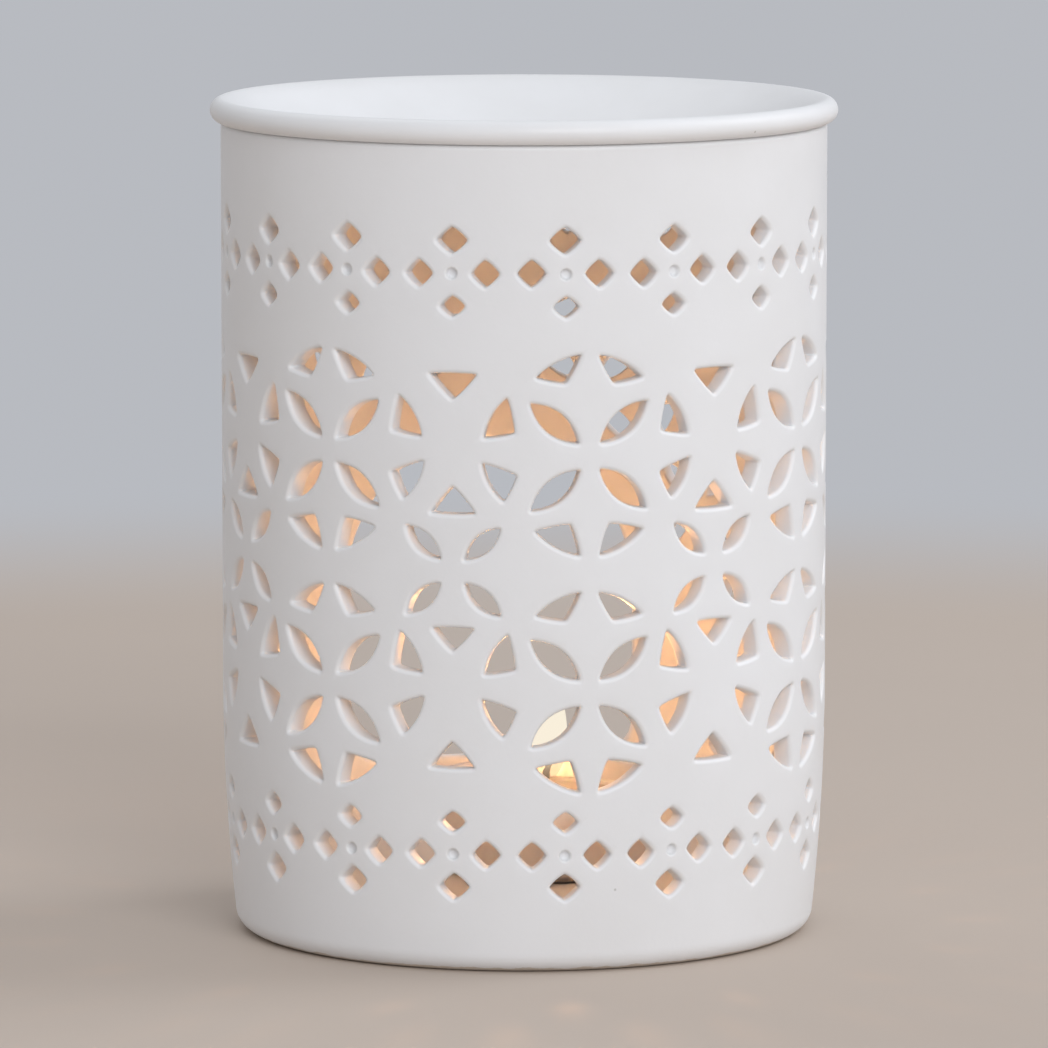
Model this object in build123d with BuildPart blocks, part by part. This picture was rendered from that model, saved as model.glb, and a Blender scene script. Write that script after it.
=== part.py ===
from build123d import *

import os
from math import cos, degrees, hypot, radians, sin, sqrt

# An oil burner of slip-cast clay: a pierced cylinder with an arched opening at the back, a shallow
# dish that sits in its mouth, and a tea light on its floor. Millimetres, +Z up, the middle of the
# foot at the origin, a column of rosettes facing -Y and the arch towards +Y.

# Body
body_diameter = 101.4
body_height = 136.0
wall = 3.5
floor_thickness = 4.0
floor_corner = 2.0
foot_recess = 5.5
foot_ring_width = 5.0
foot_ring_slope = 1.5
foot_round = 3.5
waist_draw = 0.25  # how far the wall comes in by the waist, above the lower band
foot_draw = 2.0
mouth_chamfer = 0.6

# Dish
lip_overhang = 1.8
lip_thickness = 4.0
dish_wall = 3.2
bowl_depth = 14.0
lip_slope_width = 2.1  # from the top of the lip in to the edge of the bowl
lip_slope_fall = 0.55
locating_ring_height = 4.0
locating_ring_width = 2.5
dish_play = 0.5

# Arched opening at the back
arch_width = 50.4
arch_sill = 21.5
arch_rise = 55.5
arch_corner = 7.0
arch_angle = 176.0  # from the front, anticlockwise seen from above
arch_margin = 7.0  # plain clay left between the arch and the pattern

# Bands of diamonds: four to a cluster, the large one on the outer side of the band
band_above_foot = 19.8
band_below_mouth = 20.9
cluster_count = 17
cluster_gap = 2.85
large_diamond = (5.3, 4.5)
side_diamond = (4.8, 4.6)
small_diamond = (4.3, 3.5)
diamond_rise = 5.4

# Rosettes, in columns round the wall and in two rows between the bands
column_count = 7
column_gap = 9.7
row_gap = 5.6
row_shares = (0.280, 0.687)  # of the way from the lower band to the upper

# Leaves, pointed ovals in the quarters of a rosette and of the flower between four rosettes, each
# from its inner to its outer point
leaf_points = ((1.65, 2.1), (9.85, 8.8))
leaf_width = 3.8
flower_leaf_points = ((2.0, 1.9), (8.0, 7.25))
flower_leaf_width = 3.0
flower_lift = 0.6  # of a flower's middle, above the middle between the rows

# Corners of the holes inside a rosette's rim, clockwise from its top, as shares of its half width
# and half height. The side between the first two follows the rim.
rim_hole_shares = (
    ((0.08, 1.0), (0.50, 0.775), (0.22, 0.72)),
    ((0.76, 0.59), (0.98, 0.19), (0.69, 0.24)),
    ((1.0, -0.055), (0.80, -0.435), (0.68, -0.175)),
    ((0.51, -0.73), (0.09, -0.98), (0.18, -0.665)),
)
rim_bow = 0.7

# Small triangles between the columns: row, flat side and point above that row, half width
spandrels = ((0, -12.2, -7.9, 3.8), (0, 10.7, 6.9, 3.5), (1, -9.3, -4.9, 3.8), (1, 13.4, 9.2, 4.0))

# Tea light
cup_diameter = 36.8
cup_height = 16.0
cup_foil = 0.4
cup_draft = 0.5  # how much narrower its floor is, on each side
cup_lip = 0.6
cup_corner = 1.4
wax_height = 12.9
tab_diameter = 12.0
tab_thickness = 0.4
collar_diameter = 2.6
collar_height = 3.0
wick_diameter = 1.5
wick_height = 15.5
wick_bend_radius = 4.0
wick_bend_angle = 40.0
tealight_offset = (3.6, -0.8)  # where it stands on the floor, from the burner's axis

overrun = 1.0

# Worked out from the sizes above
body_radius = body_diameter / 2
inner_radius = body_radius - wall
waist_radius = body_radius - waist_draw
foot_radius = body_radius - foot_draw
floor_height = foot_recess + floor_thickness
contact_radius = foot_radius - foot_round
recess_radius = contact_radius - foot_ring_width
dish_top = body_height + lip_thickness
lip_round = lip_thickness / 2
lip_middle = body_radius + lip_overhang - lip_round
ring_radius = inner_radius - dish_play
upper_band = body_height - band_below_mouth
rows = [band_above_foot + share * (upper_band - band_above_foot) for share in row_shares]
row_pitch = rows[1] - rows[0]
row_middle = sum(rows) / 2
flower_height = row_middle + flower_lift
column_pitch = 360 / column_count
rosette_width = radians(column_pitch) * body_radius - column_gap
rosette_height = row_pitch - row_gap
cluster_pitch = 360 / cluster_count
diamond_reach = (radians(cluster_pitch) * body_radius - side_diamond[0] - cluster_gap) / 2
band_top = band_above_foot + diamond_rise + small_diamond[1] / 2
waist_height = (band_top + rows[0] - rosette_height / 2) / 2
arch_radius = arch_width / 2
arch_spring = arch_sill + arch_rise - arch_radius
cup_radius = cup_diameter / 2
cup_floor_radius = cup_radius - cup_draft


def wall_plane(turn, height):
    """A plane just outside the wall, turned from the front about the axis, facing outwards."""
    facing = Vector(0, -1, 0).rotate(Axis.Z, turn)
    across = Vector(1, 0, 0).rotate(Axis.Z, turn)
    return Plane(facing * (body_radius + overrun) + Vector(0, 0, height), across, facing)


def meets_arch(corners, turn, height):
    """Whether any corner of a hole comes within the plain margin of the arch."""
    reach = arch_radius + arch_margin
    for x, y in corners:
        angle = turn + degrees(x / body_radius) - arch_angle
        across, up = body_radius * sin(radians(angle)), height + y
        beside = abs(across) < reach and arch_sill - arch_margin < up < arch_spring
        under_crown = up >= arch_spring and hypot(across, up - arch_spring) < reach
        if cos(radians(angle)) > 0 and (beside or under_crown):
            return True
    return False


def hole_faces(corners, bows, places):
    """A hole's face at each (turn, height) place, its corners measured along the wall from there.

    Each face lies on a plane of its own, square to the wall at the hole's middle.
    """
    middle = sum((Vector(*corner) for corner in corners), Vector()) / len(corners)
    points = [Vector(*corner) - middle for corner in corners]
    planes = [
        wall_plane(turn + degrees(middle.X / body_radius), height + middle.Y)
        for turn, height in places
    ]
    if not planes:
        return []
    with BuildSketch(*planes) as hole:
        with BuildLine():
            for start, end, bow in zip(points, points[1:] + points[:1], bows):
                if bow:
                    SagittaArc(start, end, bow)
                else:
                    Line(start, end)
        make_face()
    return hole.sketch.faces()


def clear_places(corners, places):
    return [place for place in places if not meets_arch(corners, *place)]


def leaf_faces(ends, width, places):
    """A pointed oval in each quarter round each place."""
    faces = []
    for side in (-1, 1):
        for up in (-1, 1):
            corners = [(side * x, up * y) for x, y in ends]
            faces += hole_faces(corners, [width / 2, width / 2], clear_places(corners, places))
    return faces


def rim_hole_faces(places):
    """The three-sided holes inside the rim of every rosette, alike on its two sides."""
    faces = []
    for corner_shares in rim_hole_shares:
        for side in (-1, 1):
            corners = [
                (side * across * rosette_width / 2, rise * rosette_height / 2)
                for across, rise in corner_shares
            ]
            faces += hole_faces(corners, [side * rim_bow, 0, 0], clear_places(corners, places))
    return faces


def spandrel_faces(turns):
    """The small triangles between two columns of rosettes, each pointing up or down."""
    faces = []
    for row, flat, point, half_width in spandrels:
        corners = [(-half_width, flat), (half_width, flat), (0, point)]
        places = clear_places(corners, [(turn, rows[row]) for turn in turns])
        faces += hole_faces(corners, [0, 0, 0], places)
    return faces


def diamond(size, x, y):
    width, height = size
    return [(x - width / 2, y), (x, y - height / 2), (x + width / 2, y), (x, y + height / 2)]


def band_faces(height, outward):
    """A ring of four-diamond clusters, without those that would meet the arch."""
    diamonds = [
        diamond(large_diamond, 0, outward * diamond_rise),
        diamond(small_diamond, 0, -outward * diamond_rise),
        diamond(side_diamond, -diamond_reach, 0),
        diamond(side_diamond, diamond_reach, 0),
    ]
    first_turn = -column_pitch / 2
    turns = [first_turn + index * cluster_pitch for index in range(cluster_count)]
    every_corner = [corner for corners in diamonds for corner in corners]
    places = clear_places(every_corner, [(turn, height) for turn in turns])
    faces = []
    for corners in diamonds:
        faces += hole_faces(corners, [0, 0, 0, 0], places)
    return faces


# Body: a thin cylinder, drawn in a little towards a rounded foot with a recess under its floor
with BuildPart() as burner_body:
    with BuildSketch(Plane.XZ):
        with BuildLine():
            foot = Polyline(
                (0, floor_height),
                (0, foot_recess),
                (recess_radius, foot_recess),
                (recess_radius + foot_ring_slope, 0),
                (contact_radius, 0),
            )
            heel = TangentArc(foot @ 1, (foot_radius, foot_round), tangent=(1, 0))
            Polyline(
                heel @ 1,
                (waist_radius, waist_height),
                (body_radius, row_middle),
                (body_radius, body_height),
                (inner_radius, body_height),
                (inner_radius, row_middle),
                (waist_radius - wall, waist_height),
                (foot_radius - wall, floor_height + floor_corner),
                (foot_radius - wall - floor_corner, floor_height),
                foot @ 0,
            )
        make_face()
    revolve(axis=Axis.Z)
    chamfer(burner_body.edges().group_by(Axis.Z)[-1], mouth_chamfer)

    with BuildSketch(wall_plane(arch_angle, 0)):
        with Locations((0, (arch_sill + arch_spring) / 2)):
            Rectangle(arch_width, arch_spring - arch_sill)
        with Locations((0, arch_spring)):
            Circle(arch_radius)
        fillet(vertices().group_by(Axis.Y)[0], arch_corner)
    arch_depth = body_radius - sqrt((foot_radius - wall) ** 2 - arch_radius**2)
    extrude(amount=-(arch_depth + 2 * overrun), mode=Mode.SUBTRACT)

    column_turns = [index * column_pitch for index in range(column_count)]
    between_turns = [turn + column_pitch / 2 for turn in column_turns]
    rosettes = [(turn, height) for turn in column_turns for height in rows]
    flowers = [(turn, flower_height) for turn in between_turns]
    holes = leaf_faces(leaf_points, leaf_width, rosettes)
    holes += leaf_faces(flower_leaf_points, flower_leaf_width, flowers)
    holes += rim_hole_faces(rosettes)
    holes += spandrel_faces(between_turns)
    holes += band_faces(band_above_foot, -1)
    holes += band_faces(upper_band, 1)
    extrude(holes, amount=-(wall + foot_draw + 2 * overrun), mode=Mode.SUBTRACT)

# Dish: a shallow bowl with a rolled lip that rests on the mouth, and a ring that keeps it centred
with BuildPart() as oil_dish:
    with BuildSketch(Plane.XZ):
        with BuildLine():
            edge = (lip_middle - lip_slope_width, dish_top - lip_slope_fall)
            rim_rise = bowl_depth - lip_slope_fall
            bowl_radius = (edge[0] ** 2 + rim_rise**2) / (2 * rim_rise)
            bowl = TangentArc((0, dish_top - bowl_depth), edge, tangent=(1, 0))
            TangentArc((lip_middle, dish_top), bowl @ 1, tangent=(-1, 0))
            lip = ThreePointArc(
                (lip_middle, dish_top),
                (lip_middle + lip_round, body_height + lip_round),
                (lip_middle, body_height),
            )
            ring_inside = ring_radius - locating_ring_width
            underside_radius = bowl_radius + dish_wall
            underside_drop = underside_radius - sqrt(underside_radius**2 - ring_inside**2)
            underside_middle = (0, dish_top - bowl_depth - dish_wall)
            underside_edge = (ring_inside, underside_middle[1] + underside_drop)
            ring = Polyline(
                lip @ 1,
                (ring_radius, body_height),
                (ring_radius, body_height - locating_ring_height),
                (ring_inside, body_height - locating_ring_height),
                underside_edge,
            )
            TangentArc(underside_middle, ring @ 1, tangent=(1, 0))
            Line(underside_middle, bowl @ 0)
        make_face()
    revolve(axis=Axis.Z)


def cup_side(inset, height):
    """Distance from the axis of the cup's sloping side, moved in by inset, at a height."""
    return cup_floor_radius + cup_draft * height / cup_height - inset


# Foil cup: a thin tapered shell with a rounded floor edge and a flat lip
with BuildPart() as tealight_cup:
    with BuildSketch(Plane.XZ):
        with BuildLine():
            outside = Polyline(
                (0, 0),
                (cup_floor_radius - cup_corner, 0),
                (cup_side(0, cup_corner), cup_corner),
                (cup_side(0, cup_height - cup_foil), cup_height - cup_foil),
                (cup_radius + cup_lip, cup_height - cup_foil),
                (cup_radius + cup_lip, cup_height),
                (cup_side(cup_foil, cup_height), cup_height),
                (cup_side(cup_foil, cup_corner), cup_corner),
                (cup_floor_radius - cup_corner, cup_foil),
                (0, cup_foil),
                close=True,
            )
        make_face()
    revolve(axis=Axis.Z)

# Wick tab: a pressed disc on the cup's floor with a collar that grips the wick
with BuildPart() as wick_tab:
    with Locations((0, 0, cup_foil)):
        Cylinder(tab_diameter / 2, tab_thickness, align=(Align.CENTER, Align.CENTER, Align.MIN))
        Cylinder(
            collar_diameter / 2, collar_height, align=(Align.CENTER, Align.CENTER, Align.MIN)
        )
    Hole(wick_diameter / 2)

# Wick: straight up through the collar and the wax, its burnt tip bent over
with BuildPart() as wick:
    with BuildLine(Plane.XZ) as wick_path:
        stem = Line((0, cup_foil), (0, wick_height))
        JernArc(stem @ 1, (0, 1), wick_bend_radius, -wick_bend_angle)
    with BuildSketch(Plane.XY.offset(cup_foil)):
        Circle(wick_diameter / 2)
    sweep(path=wick_path.wires()[0])

# Wax: fills the cup round the tab, the collar and the wick
with BuildPart() as tealight_wax:
    with BuildSketch(Plane.XZ):
        with BuildLine():
            Polyline(
                (wick_diameter / 2, wax_height),
                (cup_side(cup_foil, wax_height), wax_height),
                (cup_side(cup_foil, cup_corner), cup_corner),
                (cup_floor_radius - cup_corner, cup_foil),
                (tab_diameter / 2, cup_foil),
                (tab_diameter / 2, cup_foil + tab_thickness),
                (collar_diameter / 2, cup_foil + tab_thickness),
                (collar_diameter / 2, cup_foil + collar_height),
                (wick_diameter / 2, cup_foil + collar_height),
                close=True,
            )
        make_face()
    revolve(axis=Axis.Z)

os.makedirs("parts", exist_ok=True)
for name, piece in (("burner_body", burner_body.part), ("oil_dish", oil_dish.part)):
    piece.label = name
    export_step(piece, f"parts/{name}.step")

# The tea light is drawn on the ground plane and stands on the burner's floor, off its middle
tea_light = {
    "tealight_cup": tealight_cup.part,
    "tealight_wax": tealight_wax.part,
    "wick_tab": wick_tab.part,
    "wick": wick.part,
}
for name, piece in tea_light.items():
    standing = piece.moved(Location((*tealight_offset, floor_height)))
    standing.label = name
    export_step(standing, f"parts/{name}.step")
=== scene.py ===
from math import asin, cos, pi, radians, sin, sqrt

import bpy
import numpy as np
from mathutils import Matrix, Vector
from mathutils.geometry import delaunay_2d_cdt
from mathutils.kdtree import KDTree


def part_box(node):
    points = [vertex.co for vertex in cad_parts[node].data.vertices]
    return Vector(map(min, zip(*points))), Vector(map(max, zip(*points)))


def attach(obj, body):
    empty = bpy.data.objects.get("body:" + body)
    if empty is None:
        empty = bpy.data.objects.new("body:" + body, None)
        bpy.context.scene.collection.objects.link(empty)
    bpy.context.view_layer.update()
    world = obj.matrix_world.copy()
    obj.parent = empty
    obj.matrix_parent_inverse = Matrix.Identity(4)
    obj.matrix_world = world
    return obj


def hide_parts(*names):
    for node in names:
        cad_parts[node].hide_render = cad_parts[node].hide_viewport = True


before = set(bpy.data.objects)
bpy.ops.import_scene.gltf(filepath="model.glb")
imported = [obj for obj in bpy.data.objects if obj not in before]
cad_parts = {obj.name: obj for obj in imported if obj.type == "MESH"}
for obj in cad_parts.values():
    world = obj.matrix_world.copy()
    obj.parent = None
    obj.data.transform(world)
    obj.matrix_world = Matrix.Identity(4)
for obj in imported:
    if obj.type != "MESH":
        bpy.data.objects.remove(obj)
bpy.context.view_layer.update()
scene = bpy.context.scene
mm = 0.001

bodyLow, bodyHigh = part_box("burner_body")
dishLow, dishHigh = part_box("oil_dish")
cupLow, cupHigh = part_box("tealight_cup")
waxLow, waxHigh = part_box("tealight_wax")
wickLow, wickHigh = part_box("wick")
bodyRadius = (bodyHigh.x - bodyLow.x) / 2
bodyHeight = bodyHigh.z
print("frame loaded")


# Camera, at the angle from which the burner is seen, close enough that it fills the frame
view = {
    "target": (0, 0, 68 * mm),
    "azimuth": -12.3,
    "elevation": 7.3,
    "distance": 1.42,
    "lens": 290,
    "sensor": 36,
    "clipEnd": 20,
}


def makeCamera():
    azimuth, elevation = radians(view["azimuth"]), radians(view["elevation"])
    away = Vector((sin(azimuth) * cos(elevation), -cos(azimuth) * cos(elevation), sin(elevation)))
    camera = bpy.data.objects.new("camera", bpy.data.cameras.new("camera"))
    camera.data.lens = view["lens"]
    camera.data.sensor_width = view["sensor"]
    camera.data.clip_end = view["clipEnd"]
    camera.location = Vector(view["target"]) + away * view["distance"]
    camera.rotation_euler = away.to_track_quat("Z", "Y").to_euler()
    scene.collection.objects.link(camera)
    scene.camera = camera


makeCamera()
scene.view_settings.view_transform = "Standard"
print("camera set")


# Small helpers for node trees and meshes
def fill(tree, node, values):  # links a node's inputs, or sets them; colours come without their alpha
    for name, value in values.items():
        socket = node.inputs[name]
        if isinstance(value, bpy.types.NodeSocket):
            tree.links.new(value, socket)
        else:
            socket.default_value = (*value, 1) if socket.type == "RGBA" else value


def addNode(tree, kind, values=(), **settings):
    node = tree.nodes.new(kind)
    for setting, value in settings.items():
        setattr(node, setting, value)
    fill(tree, node, dict(values))
    return node


def sums(tree, operation, first, second=0.0, clamp=False):
    node = addNode(tree, "ShaderNodeMath", {0: first, 1: second}, operation=operation, use_clamp=clamp)
    return node.outputs[0]


def joined(tree, *parts):
    return addNode(tree, "ShaderNodeCombineXYZ", dict(enumerate(parts))).outputs[0]


def newTree(name, inputs):
    tree = bpy.data.node_groups.new(name, "GeometryNodeTree")
    for way in ("INPUT", "OUTPUT"):
        tree.interface.new_socket("Geometry", in_out=way, socket_type="NodeSocketGeometry")
    for label, kind in inputs:
        tree.interface.new_socket(label, in_out="INPUT", socket_type="NodeSocket" + kind)
    return tree, tree.nodes.new("NodeGroupInput").outputs


def endTree(tree, geometry, material):
    real = addNode(tree, "GeometryNodeRealizeInstances", {"Geometry": geometry})
    painted = addNode(tree, "GeometryNodeSetMaterial", {"Geometry": real.outputs[0], "Material": material})
    addNode(tree, "NodeGroupOutput", {"Geometry": painted.outputs[0]})
    return tree


def newObject(name, mesh):
    piece = bpy.data.objects.new(name, mesh)
    scene.collection.objects.link(piece)
    return piece


def smoothObject(name, verts, faces, material=None):
    mesh = bpy.data.meshes.new(name)
    mesh.from_pydata(verts, [], faces)
    mesh.shade_smooth()
    if material:
        mesh.materials.append(material)
    return newObject(name, mesh)


def bake(piece):  # the evaluated result as a plain mesh, with the modifiers gone
    graph = bpy.context.evaluated_depsgraph_get()
    mesh = bpy.data.meshes.new_from_object(
        piece.evaluated_get(graph), preserve_all_data_layers=True, depsgraph=graph
    )
    piece.modifiers.clear()
    return mesh


def runTree(piece, tree, values):
    modifier = piece.modifiers.new(tree.name, "NODES")
    modifier.node_group = tree
    for item in tree.interface.items_tree:
        if item.in_out == "INPUT" and item.name in values:
            modifier[item.identifier] = values[item.name]
    return bake(piece)


def lathe(name, profile, segments, material, shape=None, middle=(0, 0)):
    # A closed profile of (radius, height) turned about its middle; ends on the axis close at a pole
    verts, faces, rings = [], [], []
    for radius, height in profile:
        first = len(verts)
        if radius == 0:
            verts.append((*middle, height))
            rings.append([first] * segments)
            continue
        for step in range(segments):
            angle = 2 * pi * step / segments
            reach = radius + (shape(angle, radius, height) if shape else 0)
            verts.append((middle[0] + reach * cos(angle), middle[1] + reach * sin(angle), height))
        rings.append(list(range(first, first + segments)))
    for lower, upper in zip(rings, rings[1:]):
        for step in range(segments):
            after = (step + 1) % segments
            corners = (lower[step], lower[after], upper[after], upper[step])
            faces.append(tuple(dict.fromkeys(corners)))
    return smoothObject(name, verts, faces, material)


def arcPoints(centre, radius, start, end, steps):
    turns = [radians(start + (end - start) * step / steps) for step in range(steps + 1)]
    return [(centre[0] + radius * cos(turn), centre[1] + radius * sin(turn)) for turn in turns]


def softCorner(before, corner, after, steps):
    # Profile points round a corner, as a quadratic curve from the point before to the point after
    shares = [step / steps for step in range(steps + 1)]
    weights = [((1 - t) ** 2, 2 * t * (1 - t), t * t) for t in shares]
    return [
        tuple(sum(w * point[axis] for w, point in zip(three, (before, corner, after))) for axis in (0, 1))
        for three in weights
    ]


# Materials. Fired clay under glaze: faint mottling, pinholes, a fine orange-peel and bare clay at the foot
bodyGlazeLook = {
    "colour": (0.825, 0.83, 0.84),
    "tint": (0.785, 0.785, 0.785),
    "speck": (0.42, 0.40, 0.37),
    "clay": (0.66, 0.60, 0.53),
    "edge": (0.87, 0.87, 0.87),
    "roughness": (0.40, 0.56),
    "grain": 0.030 * mm,
    "wave": 0.30 * mm,
    "pinhole": 0.05 * mm,
    "clayBelow": 0.9 * mm,
    "clayEdge": 0.15 * mm,  # over which the glaze ends
    "clayWander": 0.5 * mm,
    "clayDull": 0.35,  # added to the roughness there
    "ior": 1.5,
    # Noise and cell values between which each pattern comes in
    "mottleSpan": (0.38, 0.68),
    "speckPatchSpan": (0.60, 0.64),
    "speckSpan": (0.05, 0.025),
    # How fine each pattern is, in turns to the metre
    "mottleScale": 34.0,
    "speckScale": 150.0,
    "speckPatchScale": 60.0,
    "clayScale": 300.0,
    "shineScale": 90.0,
    "waveScale": 26.0,
    "grainScale": 620.0,
    # How much of each colour is laid over the glaze's own
    "tintShare": 0.55,
    "speckShare": 0.7,
    "edgeShare": 0.6,
}
dishGlazeLook = dict(
    bodyGlazeLook, colour=(0.84, 0.845, 0.855), roughness=(0.40, 0.50), grain=0.018 * mm, wave=0.20 * mm
)
noiseSpan = (0.3, 0.7)  # where nearly all of a noise's values lie


def newMaterial(name):
    material = bpy.data.materials.new(name)
    material.use_nodes = True
    tree = material.node_tree
    place = addNode(tree, "ShaderNodeTexCoord").outputs["Object"]
    return material, tree, tree.nodes["Principled BSDF"], place


def noise(tree, place, scale, detail=3.0, roughness=0.5):
    values = {"Vector": place, "Scale": scale, "Detail": detail, "Roughness": roughness}
    return addNode(tree, "ShaderNodeTexNoise", values).outputs[0]


def heightOf(tree, place):
    return addNode(tree, "ShaderNodeSeparateXYZ", {0: place}).outputs["Z"]


def distance(tree, place, middle):  # from an upright axis through that middle
    centred = addNode(tree, "ShaderNodeMapping", {0: place, 1: (-middle[0], -middle[1], 0)}).outputs[0]
    parts = addNode(tree, "ShaderNodeSeparateXYZ", {0: centred}).outputs
    level = joined(tree, parts["X"], parts["Y"])
    return addNode(tree, "ShaderNodeVectorMath", {0: level}, operation="LENGTH").outputs["Value"]


def spread(tree, value, low, high, toLow=0.0, toHigh=1.0):
    values = {0: value, 1: low, 2: high, 3: toLow, 4: toHigh}
    return addNode(tree, "ShaderNodeMapRange", values, clamp=True).outputs[0]


def uneven(tree, place, value, scale, least, most):  # the value with between least and most added
    added = spread(tree, noise(tree, place, scale), *noiseSpan, least, most)
    return sums(tree, "ADD", value, added)


def mixColour(tree, share, first, second):
    return addNode(tree, "ShaderNodeMix", {0: share, 6: first, 7: second}, data_type="RGBA").outputs[2]


def bump(tree, height, depth, normal=None):
    values = {"Height": height, "Distance": depth, "Strength": 1.0}
    if normal:
        values["Normal"] = normal
    return addNode(tree, "ShaderNodeBump", values).outputs[0]


def glaze(name, look):
    material, tree, surface, place = newMaterial(name)
    mottle = spread(tree, noise(tree, place, look["mottleScale"], 4.0, 0.6), *look["mottleSpan"])
    colour = mixColour(tree, sums(tree, "MULTIPLY", mottle, look["tintShare"]), look["colour"], look["tint"])
    cells = addNode(tree, "ShaderNodeTexVoronoi", {
        "Vector": place, "Scale": look["speckScale"], "Randomness": 1.0,
    })
    sparse = spread(tree, noise(tree, place, look["speckPatchScale"], 1.0), *look["speckPatchSpan"])
    specks = spread(tree, cells.outputs["Distance"], *look["speckSpan"])
    specks = sums(tree, "MULTIPLY", specks, sparse)
    colour = mixColour(tree, sums(tree, "MULTIPLY", specks, look["speckShare"]), colour, look["speck"])
    rim = addNode(tree, "ShaderNodeAttribute", attribute_name="rim").outputs["Fac"]
    colour = mixColour(tree, sums(tree, "MULTIPLY", rim, look["edgeShare"]), colour, look["edge"])
    height = uneven(tree, place, heightOf(tree, place), look["clayScale"], 0.0, look["clayWander"])
    bare = spread(tree, height, look["clayBelow"] + look["clayEdge"], look["clayBelow"])
    colour = mixColour(tree, bare, colour, look["clay"])
    shine = spread(tree, noise(tree, place, look["shineScale"], 2.0), *noiseSpan, *look["roughness"])
    shine = sums(tree, "ADD", shine, sums(tree, "MULTIPLY", bare, look["clayDull"]), clamp=True)
    normal = bump(tree, noise(tree, place, look["waveScale"], 2.0), look["wave"])
    normal = bump(tree, noise(tree, place, look["grainScale"], 3.0, 0.6), look["grain"], normal)
    normal = bump(tree, sums(tree, "SUBTRACT", 1.0, specks), look["pinhole"], normal)
    fill(tree, surface, {"Base Color": colour, "Roughness": shine, "Normal": normal, "IOR": look["ior"]})
    return material


bodyGlaze = glaze("body_glaze", bodyGlazeLook)
dishGlaze = glaze("dish_glaze", dishGlazeLook)


# Body: the wall as two sheets, outside and inside, joined through every hole by a soft rim. It is
# laid out flat first: x along the wall at its outer radius, y up, z into the wall.
wall = {
    "thickness": 3.5 * mm,
    "footDraw": 2.0 * mm,  # how far the wall comes in by the foot
    "bendHeight": 42 * mm,  # where it starts to come in
    "footRound": 3.5 * mm,
    "footRing": 5.0 * mm,
    "footRingSlope": 1.5 * mm,
    "recess": 5.5 * mm,
    "floor": 9.5 * mm,
    "floorCorner": 2.0 * mm,
    "mouthRound": 0.9 * mm,
    "recessCorner": (2.0 * mm, 0.5 * mm, 1.8 * mm),  # reach inwards, outwards and down
    "footRingCorner": (0.3 * mm, 1.1 * mm, 1.0 * mm),  # reach inwards, up and outwards
    "floorRings": (26 * mm, 10 * mm),
    "floorEdge": 4.0 * mm,  # from the corner in to the first ring of the floor
    "cornerSteps": 5,
    "floorSteps": 6,
    "footSteps": 8,
    "segments": 180,
    "gridPitch": 2.6 * mm,
    "gridGap": 1.15 * mm,  # clear of the holes
    "tolerance": 1e-9,
    "weld": 0.002 * mm,
    "evenWeight": 80,  # how far large faces lead the shading
}
rims = {
    "outside": 0.75 * mm,
    "inside": 0.45 * mm,
    "outsideSteps": 3,
    "insideSteps": 2,
    "soften": 0.30 * mm,
    "softenPoints": 3,  # in that length
    "sidePoints": 60,
    "spacing": 1.15 * mm,
    "turnStep": radians(27),
    "wander": 0.10 * mm,
    "twist": radians(0.35),
    "archOutside": 1.1 * mm,
    "archInside": 0.9 * mm,
    "archSpacing": 1.5 * mm,
}
arch = {
    "width": 50.4 * mm,
    "sill": 21.5 * mm,
    "rise": 55.5 * mm,
    "corner": 7 * mm,
    "turn": radians(176),
    "margin": 7 * mm,
    "cornerSteps": 8,
    "roundSteps": 24,
}
archRadius = arch["width"] / 2
archSpring = arch["sill"] + arch["rise"] - archRadius

# The pattern: columns of rosettes in two rows between two bands of diamond clusters
pattern = {
    "columns": 7,
    "clusters": 17,
    "bandAboveFoot": 19.8 * mm,
    "bandBelowMouth": 20.9 * mm,
    "rowShares": (0.280, 0.687),
    "columnGap": 9.7 * mm,
    "rowGap": 5.6 * mm,
    "clusterGap": 2.85 * mm,
    "leaf": ((1.65 * mm, 2.1 * mm), (9.85 * mm, 8.8 * mm), 3.8 * mm),  # inner and outer point, width
    "flowerLeaf": ((2.0 * mm, 1.9 * mm), (8.0 * mm, 7.25 * mm), 3.0 * mm),
    "flowerLift": 0.6 * mm,
    "rimBow": 0.7 * mm,
    "sideBow": 0.15 * mm,
    # Width and height of the large diamond, the small one and those beside the dot
    "diamonds": ((5.3 * mm, 4.5 * mm), (4.3 * mm, 3.5 * mm), (4.8 * mm, 4.6 * mm)),
    "diamondRise": 5.4 * mm,
    "dot": 0.9 * mm,  # radius
    "dotPoints": 12,
}
# The holes inside a rosette's rim, clockwise from its top, as shares of its half width and height
rimHoles = [
    ((0.08, 1.0), (0.50, 0.775), (0.22, 0.72)),
    ((0.76, 0.59), (0.98, 0.19), (0.69, 0.24)),
    ((1.0, -0.055), (0.80, -0.435), (0.68, -0.175)),
    ((0.51, -0.73), (0.09, -0.98), (0.18, -0.665)),
]
# Small triangles: row, flat side and point above that row, half width
triangles = [
    (0, -12.2 * mm, -7.9 * mm, 3.8 * mm),
    (0, 10.7 * mm, 6.9 * mm, 3.5 * mm),
    (1, -9.3 * mm, -4.9 * mm, 3.8 * mm),
    (1, 13.4 * mm, 9.2 * mm, 4.0 * mm),
]
girth = 2 * pi * bodyRadius
columnPitch = girth / pattern["columns"]
clusterPitch = girth / pattern["clusters"]
upperBand = bodyHeight - pattern["bandBelowMouth"]
bandSpan = upperBand - pattern["bandAboveFoot"]
rows = [pattern["bandAboveFoot"] + share * bandSpan for share in pattern["rowShares"]]
flowerHeight = sum(rows) / 2 + pattern["flowerLift"]
halfWidth = (columnPitch - pattern["columnGap"]) / 2
halfHeight = (rows[1] - rows[0] - pattern["rowGap"]) / 2


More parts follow.
